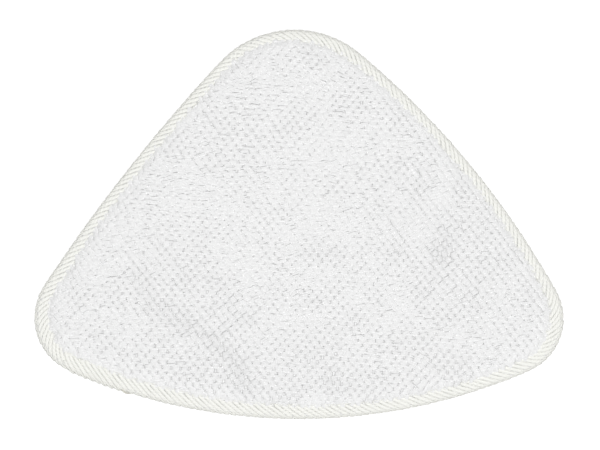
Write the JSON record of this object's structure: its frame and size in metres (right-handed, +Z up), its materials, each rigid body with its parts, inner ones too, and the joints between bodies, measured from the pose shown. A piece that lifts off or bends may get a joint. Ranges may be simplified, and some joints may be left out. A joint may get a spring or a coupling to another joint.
{
  "type": "steam mop pad",
  "caption": "Rounded triangular steam mop pad: loop-pile microfibre face, wadding core and brushed backing, held along the rim by an overlock seam.",
  "frame": {"origin": "under the middle of the outline, on the surface that the pad lies on", "axes": "+X along the long lower side, towards the right corner; +Y towards the apex; +Z up out of the pile"},
  "size_m": [0.3206, 0.2356, 0.008],
  "materials": {
    "loop_pile_microfibre": "matt white microfibre loop pile, knitted",
    "polyester_wadding": "matt white felted wadding",
    "brushed_loop_knit": "matt white brushed loop knit",
    "overlock_thread": "cream textured polyester sewing thread"
  },
  "bodies": {
    "root": {"face_cloth": "loop_pile_microfibre", "absorbent_core": "polyester_wadding", "backing_cloth": "brushed_loop_knit", "needle_thread": "overlock_thread", "upper_looper_thread": "overlock_thread", "lower_looper_thread": "overlock_thread"}
  },
  "joints": []
}
